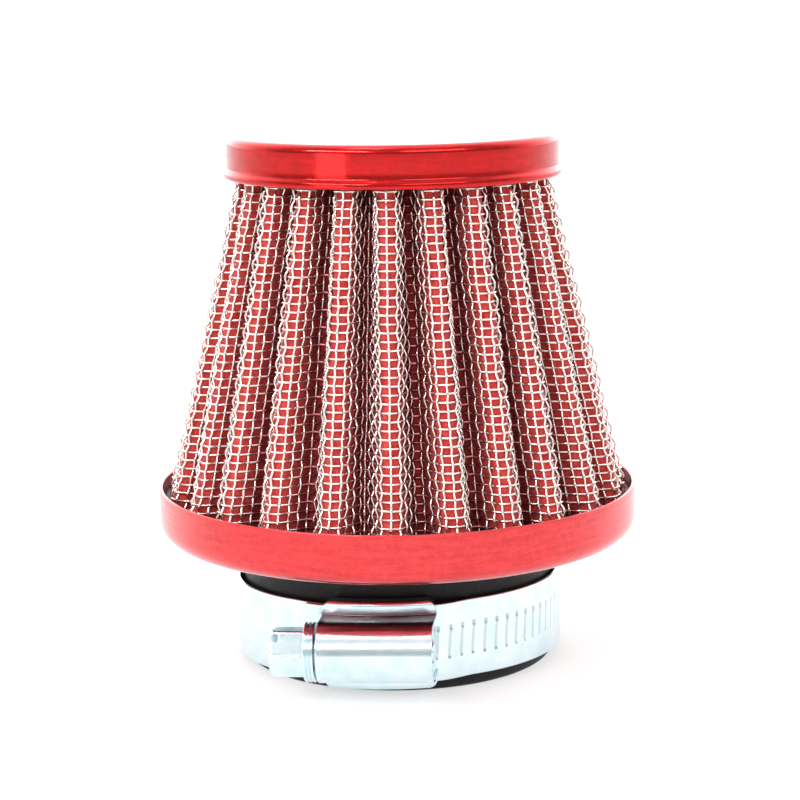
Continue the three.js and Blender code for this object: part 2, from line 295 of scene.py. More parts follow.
# %% [markdown]
# ### Red lacquer over spun aluminium
#
# The cap and the pan are spun from sheet and dipped in a clear red lacquer. The metal under it mirrors the
# room in red, and the lacquer's own surface adds a thin white mirror that grows strong at a low angle. The
# spinning tool leaves fine rings, so the roughness changes fast along the radius and the height, and not at
# all round the axis. Streaks and grain make the colour uneven, and a fine noise gives the coat its relief.

# %% Lacquer
STREAK_SCALE, RING_SCALE, PEEL_SCALE = 160, 1500, 700
PEEL_HEIGHT = 0.000010


def ring_noise(material, scale):
    """Noise of the radius and the height alone, which draws rings round the axis."""
    place = add_node(material, "ShaderNodeTexCoord").outputs["Object"]
    flat = add_node(material, "ShaderNodeVectorMath", {0: place, 1: (1, 1, 0)}, operation="MULTIPLY")
    length = add_node(material, "ShaderNodeVectorMath", {0: flat.outputs[0]}, operation="LENGTH")
    radius = length.outputs["Value"]
    height = add_node(material, "ShaderNodeSeparateXYZ", {0: place}).outputs["Z"]
    rings = add_node(material, "ShaderNodeCombineXYZ", {"X": radius, "Y": height}).outputs[0]
    return noise_value(material, rings, scale, 4.0, 0.6)


def lacquer_material(name, deep, bright, roughness, coat, grain_size, mottling):
    """Coloured metal under a clear coat. Mottling is how far streaks and grain reach to either colour."""
    material, shader = new_material(
        name, Metallic=1.0, Coat_Weight=coat, Coat_Roughness=0.06, Coat_IOR=1.5, IOR=1.5
    )
    streaks = noise_value(material, object_coordinates(material, (1, 1, 9)), STREAK_SCALE, 4.0, 0.65)
    grain = noise_value(material, object_coordinates(material), grain_size, 5.0, 0.75)
    blend = add_node(material, "ShaderNodeMath", {0: streaks, 1: grain}, operation="ADD").outputs[0]
    shade = remap(material, blend, 1 - mottling, 1 + mottling, 0, 1)
    rings = ring_noise(material, RING_SCALE)
    drive(
        material,
        shader,
        Base_Color=mixed_colour(material, shade, deep, bright),
        Roughness=remap(material, rings, 0.3, 0.7, roughness - 0.05, roughness + 0.08),
    )
    peel = noise_value(material, object_coordinates(material), PEEL_SCALE, 3.0)
    relief(material, shader, peel, PEEL_HEIGHT)
    return material


cap_lacquer = lacquer_material(
    "cap_lacquer", (0.48, 0.002, 0.002), (0.68, 0.004, 0.004),
    roughness=0.17, coat=0.55, grain_size=600, mottling=0.25,
)
# The pan's red is a lighter, pinker copy of the cap's: painted light from the bright floor below.
pan_lacquer = lacquer_material(
    "pan_lacquer", (0.6, 0.02, 0.024), (0.84, 0.046, 0.052),
    roughness=0.32, coat=0.85, grain_size=900, mottling=0.28,
)
print("lacquers", cap_lacquer.name, pan_lacquer.name)

# %% [markdown]
# ### Wire, gauze, rubber, resin and zinc
#
# Drawn wire is one bright metal, and its liveliness comes from its shape. Deep in the folds it is painted
# duller and redder: painted shade, and a painted reflection of the red gauze.
# The gauze is fuzzy cotton: no gloss, a soft sheen at the edges and threads that show as fine mottling.
# Its red is painted darker down in the valleys, as painted shade.
# Rubber is nearly black with a dull skin. Zinc plate is bright, with faint clouds and rolling marks, greyer
# in the pressed grooves as painted shade, and painted dark along the housing's crease as a painted
# reflection.

# %% Other finishes


def point_value(material, label):
    """A value that the mesh keeps at its points. On the pleats, fold is 0 on a crest and 1 in a valley."""
    return add_node(material, "ShaderNodeAttribute", attribute_name=label).outputs["Fac"]


def wire_material():
    """Bright metal with painted shade and a painted red reflection of the gauze towards the bottom of a fold.
    """
    material, shader = new_material("bright_wire", Metallic=1.0, Roughness=0.2)
    # Painted shade: the colour goes duller and redder with the depth in the fold, standing in for shade and
    # for the red gauze it mirrors.
    depth = remap(material, point_value(material, "fold"), 0.1, 0.85, 0, 1)
    drive(
        material, shader, Base_Color=mixed_colour(material, depth, (0.93, 0.84, 0.80), (0.42, 0.15, 0.14))
    )
    return material


def gauze_material():
    """Two mottled reds, one for crests and one for valleys, blended by the depth in the fold: the dark valley
    red is painted shade.
    """
    material, shader = new_material("red_gauze", Roughness=0.95, Sheen_Weight=0.15, Sheen_Roughness=0.5)
    fibres = noise_value(material, object_coordinates(material, (1, 1, 0.35)), 2600, 5.0, 0.7)
    clouds = noise_value(material, object_coordinates(material), 500, 3.0)
    blend = add_node(material, "ShaderNodeMath", {0: fibres, 1: clouds}, operation="ADD").outputs[0]
    mottle = remap(material, blend, 0.75, 1.25, 0, 1)
    crest = mixed_colour(material, mottle, (0.46, 0.018, 0.015), (0.78, 0.075, 0.062))
    # Painted shade: the valley red is a darker copy of the crest red.
    valley = mixed_colour(material, mottle, (0.1, 0.003, 0.004), (0.26, 0.008, 0.01))
    depth = remap(material, point_value(material, "fold"), 0.1, 0.9, 0, 1)
    drive(material, shader, Base_Color=mixed_colour(material, depth, crest, valley))
    relief(material, shader, fibres, 0.00012)
    return material


def rubber_material():
    """Near black, with a skin of fine noise in its roughness and its relief."""
    material, shader = new_material(
        "black_rubber", Base_Color=(0.006, 0.006, 0.006, 1), Specular_IOR_Level=0.28
    )
    skin = noise_value(material, object_coordinates(material), 1800, 3.0)
    drive(material, shader, Roughness=remap(material, skin, 0.3, 0.7, 0.4, 0.58))
    relief(material, shader, skin, 0.00003)
    return material


def resin_material():
    """Two dark browns mixed by slow clouds."""
    material, shader = new_material("potting_resin", Roughness=0.5)
    clouds = noise_value(material, object_coordinates(material), 260, 3.0)
    colour = mixed_colour(material, clouds, (0.016, 0.012, 0.012), (0.045, 0.03, 0.028))
    drive(material, shader, Base_Color=colour)
    relief(material, shader, clouds, 0.0002)
    return material


def zinc_material():
    """Cloudy bright metal, with painted shade where the surface is sunk and a painted dark reflection along
    the crease.
    """
    material, shader = new_material("zinc_plate", Metallic=1.0)
    clouds = noise_value(material, object_coordinates(material), 320, 4.0)
    marks = noise_value(material, object_coordinates(material, (1, 1, 14)), 700, 3.0)
    cloudy = remap(material, clouds, 0.3, 0.7, 0, 1)
    plain_zinc = mixed_colour(material, cloudy, (0.64, 0.81, 0.87), (0.80, 0.90, 0.93))
    # Painted shade: greyer where the surface is sunk in the band's grooves.
    grooved = mixed_colour(material, point_value(material, "sunk"), plain_zinc, (0.5, 0.57, 0.56))
    # Painted reflection: dark red along the housing's crease, where the dome's upper side mirrors the pan
    # above.
    colour = mixed_colour(material, point_value(material, "soiled"), grooved, (0.16, 0.07, 0.085))
    drive(material, shader, Base_Color=colour, Roughness=remap(material, marks, 0.3, 0.7, 0.15, 0.26))
    relief(material, shader, marks, 0.000006)
    return material


bright_wire, red_gauze, black_rubber = wire_material(), gauze_material(), rubber_material()
potting_resin, zinc_plate = resin_material(), zinc_material()
print("materials", len(bpy.data.materials))

# %% [markdown]
# ## Cap and pan
#
# Both are turned from one profile of thin sheet. The cap's open edge is rolled out into a small bead,
# and the pan's is left plain, so that its thin rim shows as a bright line. A lathe is the natural tool: a
# spun piece has no detail that changes round its axis.

# %% Cap and pan
SHEET = 0.6
pan_low, pan_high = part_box("bottom_pan")
cap_low, cap_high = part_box("top_cap")
_, neck_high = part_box("rubber_neck")
pan_radius, pan_floor, pan_rim = pan_high.x / MM, pan_low.z / MM, pan_high.z / MM
bead_radius, cap_edge, cap_top = cap_high.x / MM, cap_low.z / MM, cap_high.z / MM
BEAD_REACH = 0.45
CAP_WALL = bead_radius - BEAD_REACH
FLARE_HEIGHT, BEAD_HEIGHT = 0.9, 0.75
BEAD_ROUND, CAP_ROUND, CAP_INNER_ROUND, EDGE_ROUND = 0.35, 1.3, 0.7, 0.2
LINING = 1.0
PAN_DRAFT, PAN_ROUND, PAN_INNER_ROUND, RIM_ROUND, HOLE_ROUND = 0.1, 3.0, 2.4, 0.22, 0.15
LONGEST_STEP = 1.2
NECK_GROOVE, NECK_RADIUS, NECK_BORE = 1.2, 25.0, 21.0


def cap_profile():
    """A flat top, a straight wall and a bead: between wall and bead the radius grows as a smooth S."""
    inner = CAP_WALL - SHEET
    share = np.linspace(0, 1, 9)
    flare = share * share * (3 - 2 * share)
    radius = bead_radius - (bead_radius - CAP_WALL) * flare
    flare_points = np.stack([radius, cap_edge + BEAD_HEIGHT + FLARE_HEIGHT * share], -1)
    bead = [(inner, cap_edge + LINING), (inner, cap_edge), (bead_radius, cap_edge), flare_points[0]]
    low = rounded(bead, [0, EDGE_ROUND, BEAD_ROUND, 0], 8, closed=False)
    crown = [flare_points[-1], (CAP_WALL, cap_top), (0, cap_top)]
    high = rounded(crown, [0, CAP_ROUND, 0], 12, closed=False)
    lining = [(0, cap_top - SHEET), (inner, cap_top - SHEET), (inner, cap_edge + LINING)]
    hollow = rounded(lining, [0, CAP_INNER_ROUND, 0], 6, closed=False)
    return spread(np.concatenate([hollow[:-1], low, flare_points[1:-1], high]), LONGEST_STEP, closed=False)


def pan_profile():
    """A shallow dish: floor, a wall that leans out a little, a thin rim, and the same a sheet inside."""
    hole = NECK_RADIUS - NECK_GROOVE
    inner = pan_radius - SHEET
    corners = [
        (hole, pan_floor), (pan_radius - PAN_DRAFT, pan_floor), (pan_radius, pan_rim), (inner, pan_rim),
        (inner - PAN_DRAFT, pan_floor + SHEET), (hole, pan_floor + SHEET),
    ]
    radii = [HOLE_ROUND, PAN_ROUND, RIM_ROUND, RIM_ROUND, PAN_INNER_ROUND, HOLE_ROUND]
    return spread(rounded(corners, radii, 8), LONGEST_STEP)


cap = turned_piece("cap", cap_profile(), cap_lacquer, closed=False)
settle(cap, "filter", "red_lacquer", "top_cap")
pan = turned_piece("pan", pan_profile(), pan_lacquer)
settle(pan, "filter", "red_lacquer", "bottom_pan")

# %% [markdown]
# ## Rubber neck
#
# The neck is moulded, so its edges are softer than the sheet's. Its groove snaps over the edge of the pan's
# hole, and a thin lip below the pan hides that edge.

# %% Neck
FIT_GAP = 0.05
END_ROUND, BORE_ROUND, LIP_ROUND, FLANGE_ROUND = 0.9, 0.8, 0.3, 0.5


def neck_profile():
    """A sleeve with a groove for the pan's sheet and a flange above it, all corners eased."""
    groove, flange = NECK_RADIUS - NECK_GROOVE - FIT_GAP, neck_high.x / MM
    top, lap = neck_high.z / MM, pan_floor + SHEET + FIT_GAP
    corners = [
        (NECK_BORE, 0), (NECK_RADIUS, 0), (NECK_RADIUS, pan_floor - FIT_GAP), (groove, pan_floor - FIT_GAP),
        (groove, lap), (flange, lap), (flange, top), (NECK_BORE, top),
    ]
    radii = [BORE_ROUND, END_ROUND, LIP_ROUND, 0, 0, LIP_ROUND, FLANGE_ROUND, BORE_ROUND]
    return spread(rounded(corners, radii, 6), 1.5)


settle(turned_piece("neck", neck_profile(), black_rubber), "filter", "black_rubber", "rubber_neck")

# %% [markdown]
# ## The pleats as one folded strip
#
# The gauze and its two wire sheets are one flat strip, folded to and fro and closed into a cone. Fold lines
# are straight, and every fold is as wide at the top as at the bottom, so only the gaps between them fan out.
# The strip is laid out in stations, one for each upright wire: two cells across a crest, three down each
# side and one across a valley. A crest is a blunt roof, with its ridge a little proud of its two corners.
# The crests stand in even steps, gathered a little towards the front at the pan. Folds made by hand are
# never quite even, so each crest is also a little out at the bottom and at the top, and the sheet between
# them is ruled with straight lines.

# %% Pleats
pleat_low, pleat_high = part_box("outer_mesh")
ROW_PITCH = 1.29
SIDE_CELLS = 3
SIDE_DEPTH = 4.2
CREST_WIDTH, VALLEY_WIDTH = 2.95, 1.4
CREST_SETBACK, RIDGE_HEIGHT = 0.45, 0.48
SHEET_INSET, FOLD_SMOOTHING, WOBBLE = 0.4, 0.05, 0.16
PLEATS = 23
FIRST_CREST = -2.0
PAN_GATHER, CAP_GATHER = 3.6, -1.0
UNEVEN = 1.3
random = np.random.default_rng(7)


def crest_angles(gather, wander):
    """Even steps round the axis, drawn towards the front by a sine of the angle, each a little out."""
    even = np.radians(FIRST_CREST + 360 * np.arange(PLEATS) / PLEATS)
    return even - np.radians(gather) * np.sin(even) + np.radians(wander)


wander = random.uniform(-UNEVEN, UNEVEN, PLEATS)
crests_low = crest_angles(PAN_GATHER, wander)
crests_high = crest_angles(CAP_GATHER, wander / 2 + random.uniform(-UNEVEN, UNEVEN, PLEATS) / 2)


def round_axis(angle, radius, aside, height):
    """A point at an angle from the front and a distance from the axis, then moved sideways by a length."""
    x = radius * np.sin(angle) + aside * np.cos(angle)
    y = -radius * np.cos(angle) + aside * np.sin(angle)
    return np.stack(np.broadcast_arrays(x, y, height), -1)


def folded_line(angles, crest_radius, height):
    """The strip's stations at one height: straight runs between the corners and the ridge of every fold.

    One more station in the last valley makes the count even, so over and under meet where the strip closes.
    """
    following = np.append(angles[1:], angles[0] + 2 * math.pi)
    valleys = (angles + following) / 2
    before = np.roll(valleys, 1)
    corner_radius = crest_radius - RIDGE_HEIGHT
    valley_radius = corner_radius - SIDE_DEPTH
    corners = [
        round_axis(before, valley_radius, VALLEY_WIDTH / 2, height),
        round_axis(angles, corner_radius, -CREST_WIDTH / 2, height),
        round_axis(angles, crest_radius, 0, height),
        round_axis(angles, corner_radius, CREST_WIDTH / 2, height),
        round_axis(valleys, valley_radius, -VALLEY_WIDTH / 2, height),
    ]
    runs = []
    for start, end, cells in zip(corners, corners[1:], (SIDE_CELLS, 1, 1, SIDE_CELLS)):
        share = (np.arange(cells) / cells)[None, :, None]
        runs.append(start[:, None] * (1 - share) + end[:, None] * share)
    runs.append(corners[-1][:, None])
    line = np.concatenate(runs, 1).reshape(-1, 3)
    return np.concatenate([line, (line[-1:] + line[:1]) / 2])


def wobble(shape):
    """Small level shifts of the fabric: random numbers, averaged with neighbours up and along the strip."""
    shift = random.normal(0, WOBBLE, shape) * (1, 1, 0)
    for axis in (0, 1, 0):
        shift = (np.roll(shift, 1, axis) + 2 * shift + np.roll(shift, -1, axis)) / 4
    return shift


def strip_points(rows):
    """The whole strip as rows of stations: each station's line runs straight from the pan to the cap."""
    low_height, high_height = pleat_low.z / MM, pleat_high.z / MM
    low_radius = pan_radius - SHEET - SHEET_INSET - CREST_SETBACK
    narrowing = (pan_radius - SHEET - SHEET_INSET) - (CAP_WALL - SHEET - SHEET_INSET)
    taper = narrowing / (cap_edge - low_height)
    high_radius = low_radius - taper * (high_height - low_height)
    low = folded_line(crests_low, low_radius, low_height)
    high = folded_line(crests_high, high_radius, high_height)
    share = np.linspace(0, 1, rows)[:, None, None]
    points = low * (1 - share) + high * share
    neighbours = np.roll(points, 1, 1) + np.roll(points, -1, 1)
    points = (1 - 2 * FOLD_SMOOTHING) * points + FOLD_SMOOTHING * neighbours
    return points + wobble(points.shape)


def unit(vectors):
    """Each vector over its own length."""
    return vectors / np.linalg.norm(vectors, axis=-1, keepdims=True)


def strip_directions(points):
    """Along the strip, up the strip, and the normal that points out of its outer face."""
    along = unit(np.roll(points, -1, 1) - np.roll(points, 1, 1))
    up = unit(np.gradient(points, axis=0))
    return along, up, unit(np.cross(along, up))


ROWS = round((pleat_high.z - pleat_low.z) / MM / ROW_PITCH) + 1
strip = strip_points(ROWS)
side_share = np.arange(SIDE_CELLS) / SIDE_CELLS
fold = np.concatenate([1 - side_share, [0.0, 0.0], side_share, [1.0]])
fold = np.append(np.tile(fold, PLEATS), 1.0)
print("strip", strip.shape[:2], "rows and stations")

# %% [markdown]
# ## Woven wire
#
# Fabric like this can be a texture with holes, but then it has no thickness at its edges and casts no true
# shadow. Each wire here is its own thin tube. In a plain weave a wire goes over one crossing wire and under
# the next, so its centre line is the strip's surface plus a wave along the normal. Upright and hoop wires
# take opposite signs, and at each crossing the signs swap, so the wave is a cosine half a turn long per cell.
# A tube less than half a millimetre thick needs only a few sides to look round.

# %% Wires
WIRE_RADIUS = 0.19
UPRIGHT_WAVE, HOOP_WAVE = 0.21, 0.17
UPRIGHT_SHADE = 0.45


def finer(values, axis, closed, steps):
    """Splits every gap along an axis into equal steps, with the points between on a straight line."""
    values = np.moveaxis(values, axis, 0)
    after = np.roll(values, -1, 0) if closed else np.concatenate([values[1:], values[-1:]])
    share = (np.arange(steps) / steps).reshape(1, -1, *[1] * (values.ndim - 1))
    out = (values[:, None] * (1 - share) + after[:, None] * share).reshape(-1, *values.shape[1:])
    return np.moveaxis(out if closed else out[: len(out) - steps + 1], 0, axis)


def weave(signs, axis, closed, steps):
    """A cosine that runs from the sign at each crossing to the opposite sign at the next."""
    signs = np.moveaxis(signs, axis, 0)
    swing = np.cos(math.pi * np.arange(steps) / steps)
    wave = (signs[:, None] * swing[None, :, None]).reshape(-1, signs.shape[1])
    return np.moveaxis(wave if closed else wave[: len(wave) - steps + 1], 0, axis)[..., None]


def tube_points(centres, side, normal, radius, sides):
    """Rings round a centre line: the centre plus r cos a along the normal and r sin a to the side."""
    angle = np.linspace(0, 2 * math.pi, sides, endpoint=False) + math.pi / sides
    ring = np.cos(angle)[:, None] * normal[..., None, :] + np.sin(angle)[:, None] * side[..., None, :]
    return centres[..., None, :] + radius * ring


def tube_faces(count, rings, sides, closed):
    """Faces of many equal tubes. An open tube of four or six sides gets flat ends."""
    faces = grid_faces(rings, sides, closed, True)
    if not closed:
        fan = np.array([[0, i, i + 1, i + 2] for i in range(1, sides - 2, 2)])
        faces = np.concatenate([faces, fan, (rings - 1) * sides + fan[:, ::-1]])
    return (faces[None] + (np.arange(count) * rings * sides)[:, None, None]).reshape(-1, 4)


def crossing_signs(rows, stations):
    """Plus one where row and station add up to an even number, and minus one elsewhere."""
    return np.where((np.arange(rows)[:, None] + np.arange(stations)[None, :]) % 2 == 0, 1.0, -1.0)


def wire_pieces(name, rings, depths, closed, halves, slot_node):
    """Equal tubes from their rings of points, shared out over a few pieces."""
    parts = zip(np.array_split(rings, halves), np.array_split(depths, halves))
    for number, (part, depth) in enumerate(parts, 1):
        faces = tube_faces(len(part), part.shape[1], part.shape[2], closed)
        depth = np.broadcast_to(depth[..., None], part.shape[:3])
        piece = new_piece(f"{name}_{number}", part * MM, faces, bright_wire, fold=depth)
        settle(piece, "filter", "steel_wire", slot_node)


def wire_sheet(name, depth, sides, steps, halves, slot_node):
    """All upright wires and all hoop wires of one woven sheet, its middle at a depth below the strip."""
    along, up, normal = strip_directions(strip)
    middle = strip - depth * normal
    signs = crossing_signs(*strip.shape[:2])
    out, aside = unit(finer(normal, 0, False, steps)), unit(finer(along, 0, False, steps))
    centres = finer(middle, 0, False, steps) + UPRIGHT_WAVE * weave(signs, 0, False, steps) * out
    rings = tube_points(centres, aside, out, WIRE_RADIUS, sides).swapaxes(0, 1)
    # Uprights take only part of the painted fold shade.
    depths = np.broadcast_to(UPRIGHT_SHADE * fold[:, None], rings.shape[:2])
    wire_pieces(f"{name}_uprights", rings, depths, False, halves, slot_node)
    out, above = unit(finer(normal, 1, True, steps)), unit(finer(up, 1, True, steps))
    centres = finer(middle, 1, True, steps) - HOOP_WAVE * weave(signs, 1, True, steps) * out
    rings = tube_points(centres, above, out, WIRE_RADIUS, sides)[:, :, ::-1]
    depths = np.broadcast_to(finer(fold, 0, True, steps)[None], rings.shape[:2])
    wire_pieces(f"{name}_hoops", rings, depths, True, halves, slot_node)


OUTER_DEPTH, GAUZE_DEPTH, GAUZE_THICKNESS, INNER_DEPTH = 0.0, 0.42, 0.4, 1.25
wire_sheet("outer_wire", OUTER_DEPTH, 6, 3, 2, "outer_mesh")
wire_sheet("inner_wire", INNER_DEPTH, 4, 2, 1, "inner_mesh")

# %% [markdown]
# ## Gauze
#
# The gauze is the same folded strip, sunk just under the wires. Its outer and inner faces are two grids a
# ply apart, joined along the pan and the cap, so it is a closed sheet with a real thickness. It swells a
# little through each cell of the wire.

# %% Gauze
GAUZE_SWELL = 0.06


def gauze_piece():
    """The strip moved in along its normal: once for the outer face, and a ply further for the inner one."""
    fine = finer(strip, 1, True, 2)
    _, _, normal = strip_directions(fine)
    swell = np.where(np.arange(fine.shape[1]) % 2 == 0, 0.0, GAUZE_SWELL)[None, :, None]
    outer = fine - (GAUZE_DEPTH - swell) * normal
    inner = fine - (GAUZE_DEPTH + GAUZE_THICKNESS) * normal
    loop = np.concatenate([outer, inner[::-1]])
    faces = grid_faces(len(loop), fine.shape[1], True, True)
    depths = np.broadcast_to(finer(fold, 0, True, 2), loop.shape[:2])
    return new_piece("gauze", loop * MM, faces, red_gauze, fold=depths)


settle(gauze_piece(), "filter", "red_gauze", "filter_media")

# %% [markdown]
# ## Potting
#
# Liquid resin is poured into the pan and the cap, and it sets round the ends of the pleats. Both castings
# are turned shapes, the one in the pan slightly dished, and just deep enough to hold the wires' cut ends.

# %% Potting
POTTING_LAP, POTTING_DISH, PAN_FLOOR_LIFT = 0.6, 0.3, 1.6
TOP_RESIN_ROUND, TOP_RESIN_CROWN = 0.9, 0.1


def ring_profile(inner, outer, low, high, dish):
    """A closed ring section whose top sinks by a half sine between its inner and outer edge."""
    share = np.linspace(0, 1, 16)
    radius = inner + (outer - inner) * share
    top = np.stack([radius[::-1], high - dish * np.sin(math.pi * share)], -1)
    bottom = np.stack([radius, low + 0 * share], -1)
    return np.concatenate([bottom, top])


bottom_low, bottom_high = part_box("bottom_potting")
top_low, top_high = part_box("top_potting")
bottom_ring = ring_profile(
    neck_high.x / MM + FIT_GAP, pan_radius - SHEET - FIT_GAP,
    bottom_low.z / MM + PAN_FLOOR_LIFT, bottom_high.z / MM + POTTING_LAP, POTTING_DISH,
)
bottom_resin = turned_piece("bottom_resin", bottom_ring, potting_resin, 192)
settle(bottom_resin, "filter", "resin", "bottom_potting")


def top_resin_profile():
    """A disc that fills the cap, its lower face a little lower at the middle."""
    radius = CAP_WALL - SHEET - FIT_GAP
    low, high = top_low.z / MM - POTTING_LAP, top_high.z / MM
    corners = [(0, low - TOP_RESIN_CROWN), (radius, low), (radius, high), (0, high)]
    return spread(rounded(corners, [0, 0.1, TOP_RESIN_ROUND, 0], 5, closed=False), 1.5, closed=False)


top_resin = turned_piece("top_resin", top_resin_profile(), potting_resin, 192, closed=False)
settle(top_resin, "filter", "resin", "top_potting")

# %% [markdown]
# ## The clamp's own frame
#
# The loose clamp sits a little crooked on the neck, and its screw lies across it. The two joints in the
# frame give the clamp's axis and the screw's, so the clamp's pieces are worked out square to those axes, in
# millimetres, and one matrix puts them in place: across along the screw, out through it, and up the axis.

# %% Clamp frame
joints = {joint["name"]: joint for joint in frame["joints"]}
clamp_up = np.array(joints["clamp_turn"]["axis"])
clamp_middle = np.array(joints["clamp_turn"]["pos_m"])
screw_along = np.array(joints["screw_turn"]["axis"])
screw_place = np.array(joints["screw_turn"]["pos_m"])
clamp_back = np.cross(clamp_up, screw_along)
SCREW_OFFSET = float(np.linalg.norm(screw_place - clamp_middle)) / MM


def in_clamp(points):
    """Points given across, back and up in the clamp's frame, in millimetres, carried to the row frame."""
    axes = np.stack([screw_along, clamp_back, clamp_up])
    return clamp_middle + np.asarray(points) * MM @ axes


def on_screw(points):
    """Points turned about +Z, with +Z laid along the screw and the origin moved to the screw's axis."""
    points = np.asarray(points)
    return np.stack([points[..., 2], points[..., 1] - SCREW_OFFSET, -points[..., 0]], -1)


print("screw", round(SCREW_OFFSET, 2), "mm from the clamp's axis")

# %% [markdown]
# ## Band
#
# A rounded strip section is carried along the band's path, which runs over the saddle, round the neck and
# up over its own fixed end. Thread grooves are pressed in by the same formula that places them: inside a
# slanted slot round each groove's middle the outer face sinks by a smooth bell, deepest at its upper end.
# Rows of points stand close together only where there are grooves to show, which keeps the mesh small.

# %% Band
BAND_HALF_WIDTH, BAND_THICKNESS, LAYER_GAP, SADDLE_THICKNESS = 6.0, 0.6, 0.12, 0.6
BAND_CLEARANCE = 0.75
FREE_RADIUS = NECK_RADIUS + BAND_CLEARANCE + BAND_THICKNESS / 2
FIXED_RADIUS = FREE_RADIUS + SADDLE_THICKNESS + LAYER_GAP
TAIL_RADIUS = FIXED_RADIUS + BAND_THICKNESS + LAYER_GAP
OVERLAP_RADIUS = FREE_RADIUS + BAND_THICKNESS + LAYER_GAP
HOUSING_LENGTH, HOUSING_WALL = 17.6, 0.7
HOUSING_INNER = TAIL_RADIUS + BAND_THICKNESS / 2 + LAYER_GAP
HOUSING_ANGLE = math.degrees(math.asin(HOUSING_LENGTH / 2 / (HOUSING_INNER + HOUSING_WALL)))
RAMP, FIXED_END, TAIL_END = 15.0, 12.0, 28.0
GROOVE_PITCH, GROOVE_HALF_LENGTH, GROOVE_HALF_WIDTH, GROOVE_DEPTH = 2.1, 2.75, 0.52, 0.2
GROOVE_SLANT = math.tan(math.radians(5))
GROOVE_ARC, FIRST_GROOVE = 130.0, 2.0
GROOVE_END, GROOVE_FLOOR = 0.45, 0.75
DOT_DEPTH, DOT_INSET, DOT_SIZE = 0.5, 0.55, 0.4
BAND_ROUND, BAND_STEP = 0.14, 0.22
PLAIN_STEP, PRESSED_ROWS = 1.25, 590
TIP_ANGLE, TIP_NARROWING = 3.2, 0.35


def smooth_step(value):
    """A smooth rise from 0 to 1: three squares less two cubes of the value, held between 0 and 1."""
    value = np.clip(value, 0, 1)
    return value * value * (3 - 2 * value)


def band_radius(travel):
    """The centre line's radius: on the saddle, down to the neck, up on to the fixed end, and down again."""
    down = FIXED_RADIUS + (FREE_RADIUS - FIXED_RADIUS) * smooth_step((travel - HOUSING_ANGLE) / RAMP)
    climb = smooth_step((travel - 360 + HOUSING_ANGLE + RAMP) / RAMP)
    up = FREE_RADIUS + (TAIL_RADIUS - FREE_RADIUS) * climb
    off = TAIL_RADIUS + (OVERLAP_RADIUS - TAIL_RADIUS) * smooth_step((travel - 360 - HOUSING_ANGLE) / RAMP)
    return np.where(travel < 180, down, np.where(travel < 360, up, off))


def groove_depth(arc_length, across):
    """How far the outer face sinks: a bell across each groove, flat along it, with round ends."""
    place = arc_length + GROOVE_SLANT * across
    nearest = (place / GROOVE_PITCH - np.round(place / GROOVE_PITCH)) * GROOVE_PITCH
    bell = np.cos(np.clip(nearest / GROOVE_HALF_WIDTH, -1, 1) * math.pi / 2) ** 2
    ends = smooth_step((GROOVE_HALF_LENGTH - np.abs(across)) / GROOVE_END)
    dot = DOT_DEPTH * np.exp(-(((across - GROOVE_HALF_LENGTH + DOT_INSET) / DOT_SIZE) ** 2))
    return GROOVE_DEPTH * bell * ends * (GROOVE_FLOOR + dot)


def band_piece():
    """The section's points at band_radius plus their own place, less the grooves, and narrower at the tip."""
    plain = np.arange(-FIXED_END, 360 - GROOVE_ARC, PLAIN_STEP)
    pressed = np.linspace(360 - GROOVE_ARC, 360 + TAIL_END, PRESSED_ROWS)
    travel = np.concatenate([plain, pressed])[:, None]
    corners = np.array([(-1, -1), (1, -1), (1, 1), (-1, 1)]) * (BAND_THICKNESS / 2, BAND_HALF_WIDTH)
    section = spread(rounded(corners, [BAND_ROUND] * 4, 3), BAND_STEP)
    out, up = section[None, :, 0], section[None, :, 1]
    arc_length = np.radians(travel - 360 - TAIL_END) * FREE_RADIUS
    grooved = (travel > 360 - GROOVE_ARC) & (arc_length < -FIRST_GROOVE) & (out > BAND_THICKNESS / 3)
    sunk = np.where(grooved, groove_depth(arc_length, up), 0)
    tip = smooth_step((360 + TAIL_END - travel) / TIP_ANGLE) * TIP_NARROWING + 1 - TIP_NARROWING
    radius = band_radius(travel) + out - sunk
    angle = np.radians(travel)
    points = np.stack([-radius * np.sin(angle), -radius * np.cos(angle), up * tip], -1)
    # Painted shade in the grooves, carried to the zinc as the sunk value.
    groove_shade = smooth_step(sunk / GROOVE_DEPTH)
    return weld(new_piece("band", in_clamp(points), capped_faces(*points.shape[:2]), zinc_plate, sunk=groove_shade))


settle(band_piece(), "clamp", "zinc_steel", "clamp_band")

# %% [markdown]
# ## Saddle
#
# The saddle is a plain curved plate under the band's ends, carried round the same axis.

# %% Saddle
SADDLE_ROUND = 0.12


def saddle_piece():
    """A flat section carried on an arc: x is r sin t, y is minus r cos t, and z is the section's height."""
    inner = FREE_RADIUS - BAND_THICKNESS / 2
    corners = [
        (inner, -BAND_HALF_WIDTH), (inner + SADDLE_THICKNESS, -BAND_HALF_WIDTH),
        (inner + SADDLE_THICKNESS, BAND_HALF_WIDTH), (inner, BAND_HALF_WIDTH),
    ]
    section = rounded(corners, [SADDLE_ROUND] * 4, 3)
    angle = np.radians(np.linspace(-HOUSING_ANGLE, HOUSING_ANGLE, 41))[:, None]
    radius, up = section[None, :, 0], section[None, :, 1]
    points = np.stack([radius * np.sin(angle), -radius * np.cos(angle), up + 0 * angle], -1)
    return weld(new_piece("saddle", in_clamp(points), capped_faces(*points.shape[:2]), zinc_plate))


settle(saddle_piece(), "clamp", "zinc_steel", "clamp_saddle")

# %% [markdown]
# ## Housing
#
# The housing is one pressing: lips over the band's edges, two flanges that follow the band's curve, and a
# straight dome over the screw. Each point of its section holds two heights, one that follows the band and
# one that is straight, and a weight blends between them up the dome's sides. Carrying that section along
# the screw gives the outer skin, and the same section a wall thinner gives the inner one.

